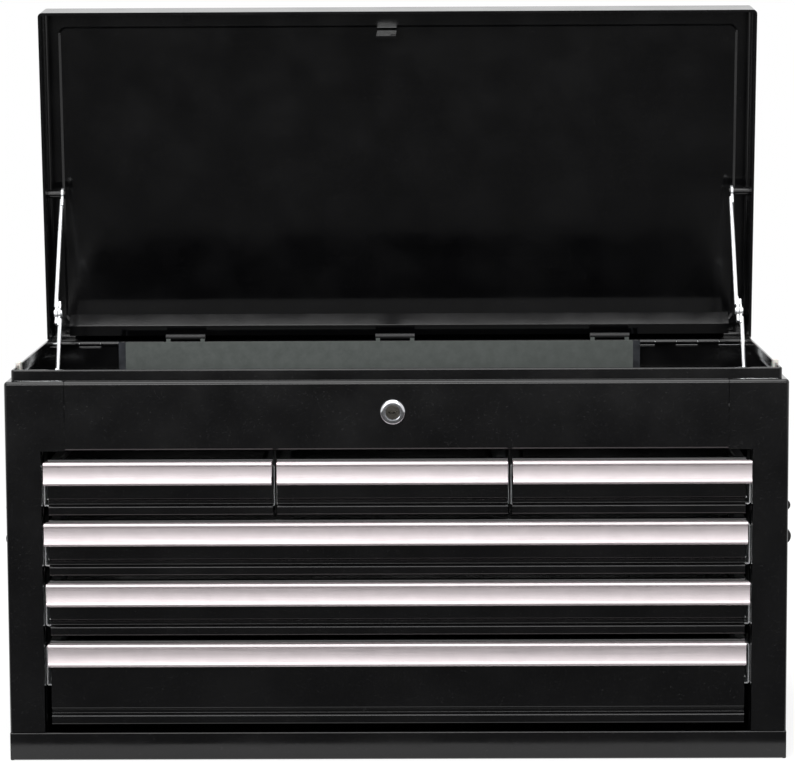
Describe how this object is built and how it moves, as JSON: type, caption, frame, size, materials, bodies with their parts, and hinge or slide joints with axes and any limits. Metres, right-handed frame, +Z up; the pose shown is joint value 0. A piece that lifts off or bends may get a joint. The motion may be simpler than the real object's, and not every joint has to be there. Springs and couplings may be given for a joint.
{
  "type": "machinist tool chest",
  "caption": "Black steel tool chest with a hinged pan lid held open by folding stays, a top till, a keyed lock and drawers with full-width aluminium pulls.",
  "frame": {"origin": "centre of the flat underside", "axes": "+Z up, -Y out of the drawer fronts, +X to the right of someone facing the drawers"},
  "size_m": [0.694, 0.3705, 0.6384],
  "materials": {
    "black_enamel": "semi-gloss black baked enamel on steel sheet",
    "satin_aluminium": "satin anodised extrusion with bright beads",
    "zinc_steel": "bright zinc plate",
    "galvanised_steel": "dull galvanised sheet",
    "chrome_plate": "polished chrome plate",
    "nickel_plate": "satin nickel plate",
    "black_vinyl": "soft vinyl sleeve",
    "nylon": "natural nylon"
  },
  "bodies": {
    "case": {"back_panel": "black_enamel", "base_pan": "black_enamel", "case_stay_studs": "zinc_steel", "drawer_dividers": "black_enamel", "front_top_rail": "black_enamel", "handle_plate_left": "black_enamel", "handle_plate_right": "black_enamel", "handle_rivets": "zinc_steel", "hinge_case_leaf": "black_enamel", "hinge_pin": "zinc_steel", "lock_housing": "chrome_plate", "lock_nut": "zinc_steel", "lock_plate_guides": "zinc_steel", "rim_bumpers": "nylon", "side_panel_left": "black_enamel", "side_panel_right": "black_enamel", "slide_outer_rails": "zinc_steel", "slide_posts": "black_enamel", "till_floor": "black_enamel"},
    "small_drawer_left": {"small_drawer_left_box": "black_enamel", "small_drawer_left_pull": "satin_aluminium", "small_drawer_left_rails": "zinc_steel"},
    "small_drawer_left_ball_cages": {"small_drawer_left_cages": "zinc_steel"},
    "small_drawer_middle": {"small_drawer_middle_box": "black_enamel", "small_drawer_middle_pull": "satin_aluminium", "small_drawer_middle_rails": "zinc_steel"},
    "small_drawer_middle_ball_cages": {"small_drawer_middle_cages": "zinc_steel"},
    "small_drawer_right": {"small_drawer_right_box": "black_enamel", "small_drawer_right_pull": "satin_aluminium", "small_drawer_right_rails": "zinc_steel"},
    "small_drawer_right_ball_cages": {"small_drawer_right_cages": "zinc_steel"},
    "upper_drawer": {"upper_drawer_box": "black_enamel", "upper_drawer_pull": "satin_aluminium", "upper_drawer_rails": "zinc_steel"},
    "upper_drawer_ball_cages": {"upper_drawer_cages": "zinc_steel"},
    "middle_drawer": {"middle_drawer_box": "black_enamel", "middle_drawer_pull": "satin_aluminium", "middle_drawer_rails": "zinc_steel"},
    "middle_drawer_ball_cages": {"middle_drawer_cages": "zinc_steel"},
    "deep_drawer": {"deep_drawer_box": "black_enamel", "deep_drawer_pull": "satin_aluminium", "deep_drawer_rails": "zinc_steel"},
    "deep_drawer_ball_cages": {"deep_drawer_cages": "zinc_steel"},
    "lid": {"lid_shell": "black_enamel", "lid_rear_channel": "black_enamel", "lid_striker": "black_enamel", "lid_stay_studs": "zinc_steel", "hinge_lid_leaf": "black_enamel"},
    "stay_upper_left": {"stay_upper_left": "zinc_steel"},
    "stay_lower_left": {"stay_lower_left": "zinc_steel"},
    "handle_left": {"handle_bail_left": "chrome_plate", "handle_grip_left": "black_vinyl"},
    "stay_upper_right": {"stay_upper_right": "zinc_steel"},
    "stay_lower_right": {"stay_lower_right": "zinc_steel"},
    "handle_right": {"handle_bail_right": "chrome_plate", "handle_grip_right": "black_vinyl"},
    "lock_core": {"lock_plug": "nickel_plate", "lock_cam": "zinc_steel"},
    "drawer_lock": {"drawer_lock_plate": "galvanised_steel", "drawer_lock_bars": "galvanised_steel"}
  },
  "joints": [
    {"name": "lid_hinge", "type": "hinge", "parent": "case", "child": "lid", "pos_m": [0, 0.1532, 0.3256], "axis": [1, 0, 0], "range_deg": [0, 84]},
    {"name": "stay_lower_left_pivot", "type": "hinge", "parent": "case", "child": "stay_lower_left", "pos_m": [-0.312, 0.0535, 0.3], "axis": [1, 0, 0], "range_deg": [-78.9, 0]},
    {"name": "stay_upper_left_pivot", "type": "hinge", "parent": "lid", "child": "stay_upper_left", "pos_m": [-0.312, 0.15249, 0.4663], "axis": [1, 0, 0], "range_deg": [0, 6.34]},
    {"name": "stay_lower_right_pivot", "type": "hinge", "parent": "case", "child": "stay_lower_right", "pos_m": [0.312, 0.0535, 0.3], "axis": [1, 0, 0], "range_deg": [-78.9, 0]},
    {"name": "stay_upper_right_pivot", "type": "hinge", "parent": "lid", "child": "stay_upper_right", "pos_m": [0.312, 0.15249, 0.4663], "axis": [1, 0, 0], "range_deg": [0, 6.34]},
    {"name": "drawer_lock_lift", "type": "slide", "parent": "case", "child": "drawer_lock", "axis": [0, 0, -1], "range_m": [0, 0.01002]},
    {"name": "lock_turn", "type": "hinge", "parent": "case", "child": "lock_core", "pos_m": [-0.003, -0.157, 0.298], "axis": [0, -1, 0], "range_deg": [0, 90]},
    {"name": "small_drawer_left_slide", "type": "slide", "parent": "case", "child": "small_drawer_left", "axis": [0, -1, 0], "range_m": [0, 0.18]},
    {"name": "small_drawer_left_cage_slide", "type": "slide", "parent": "case", "child": "small_drawer_left_ball_cages", "axis": [0, -1, 0], "range_m": [0, 0.09]},
    {"name": "small_drawer_middle_slide", "type": "slide", "parent": "case", "child": "small_drawer_middle", "axis": [0, -1, 0], "range_m": [0, 0.18]},
    {"name": "small_drawer_middle_cage_slide", "type": "slide", "parent": "case", "child": "small_drawer_middle_ball_cages", "axis": [0, -1, 0], "range_m": [0, 0.09]},
    {"name": "small_drawer_right_slide", "type": "slide", "parent": "case", "child": "small_drawer_right", "axis": [0, -1, 0], "range_m": [0, 0.18]},
    {"name": "small_drawer_right_cage_slide", "type": "slide", "parent": "case", "child": "small_drawer_right_ball_cages", "axis": [0, -1, 0], "range_m": [0, 0.09]},
    {"name": "upper_drawer_slide", "type": "slide", "parent": "case", "child": "upper_drawer", "axis": [0, -1, 0], "range_m": [0, 0.18]},
    {"name": "upper_drawer_cage_slide", "type": "slide", "parent": "case", "child": "upper_drawer_ball_cages", "axis": [0, -1, 0], "range_m": [0, 0.09]},
    {"name": "middle_drawer_slide", "type": "slide", "parent": "case", "child": "middle_drawer", "axis": [0, -1, 0], "range_m": [0, 0.18]},
    {"name": "middle_drawer_cage_slide", "type": "slide", "parent": "case", "child": "middle_drawer_ball_cages", "axis": [0, -1, 0], "range_m": [0, 0.09]},
    {"name": "deep_drawer_slide", "type": "slide", "parent": "case", "child": "deep_drawer", "axis": [0, -1, 0], "range_m": [0, 0.18]},
    {"name": "deep_drawer_cage_slide", "type": "slide", "parent": "case", "child": "deep_drawer_ball_cages", "axis": [0, -1, 0], "range_m": [0, 0.09]},
    {"name": "handle_left_swing", "type": "hinge", "parent": "case", "child": "handle_left", "pos_m": [-0.3395, 0, 0.2015], "axis": [0, 1, 0], "range_deg": [0, 95]},
    {"name": "handle_right_swing", "type": "hinge", "parent": "case", "child": "handle_right", "pos_m": [0.3395, 0, 0.2015], "axis": [0, -1, 0], "range_deg": [0, 95]}
  ],
  "couplings": [
    {"joint": "stay_lower_left_pivot", "follows": "lid_hinge", "ratio": -0.93695},
    {"joint": "stay_upper_left_pivot", "follows": "lid_hinge", "ratio": 0.073069},
    {"joint": "stay_lower_right_pivot", "follows": "lid_hinge", "ratio": -0.93695},
    {"joint": "stay_upper_right_pivot", "follows": "lid_hinge", "ratio": 0.073069},
    {"joint": "drawer_lock_lift", "follows": "lid_hinge", "m_per_rad": 0.0068209},
    {"joint": "small_drawer_left_cage_slide", "follows": "small_drawer_left_slide", "ratio": 0.5},
    {"joint": "small_drawer_middle_cage_slide", "follows": "small_drawer_middle_slide", "ratio": 0.5},
    {"joint": "small_drawer_right_cage_slide", "follows": "small_drawer_right_slide", "ratio": 0.5},
    {"joint": "upper_drawer_cage_slide", "follows": "upper_drawer_slide", "ratio": 0.5},
    {"joint": "middle_drawer_cage_slide", "follows": "middle_drawer_slide", "ratio": 0.5},
    {"joint": "deep_drawer_cage_slide", "follows": "deep_drawer_slide", "ratio": 0.5}
  ]
}
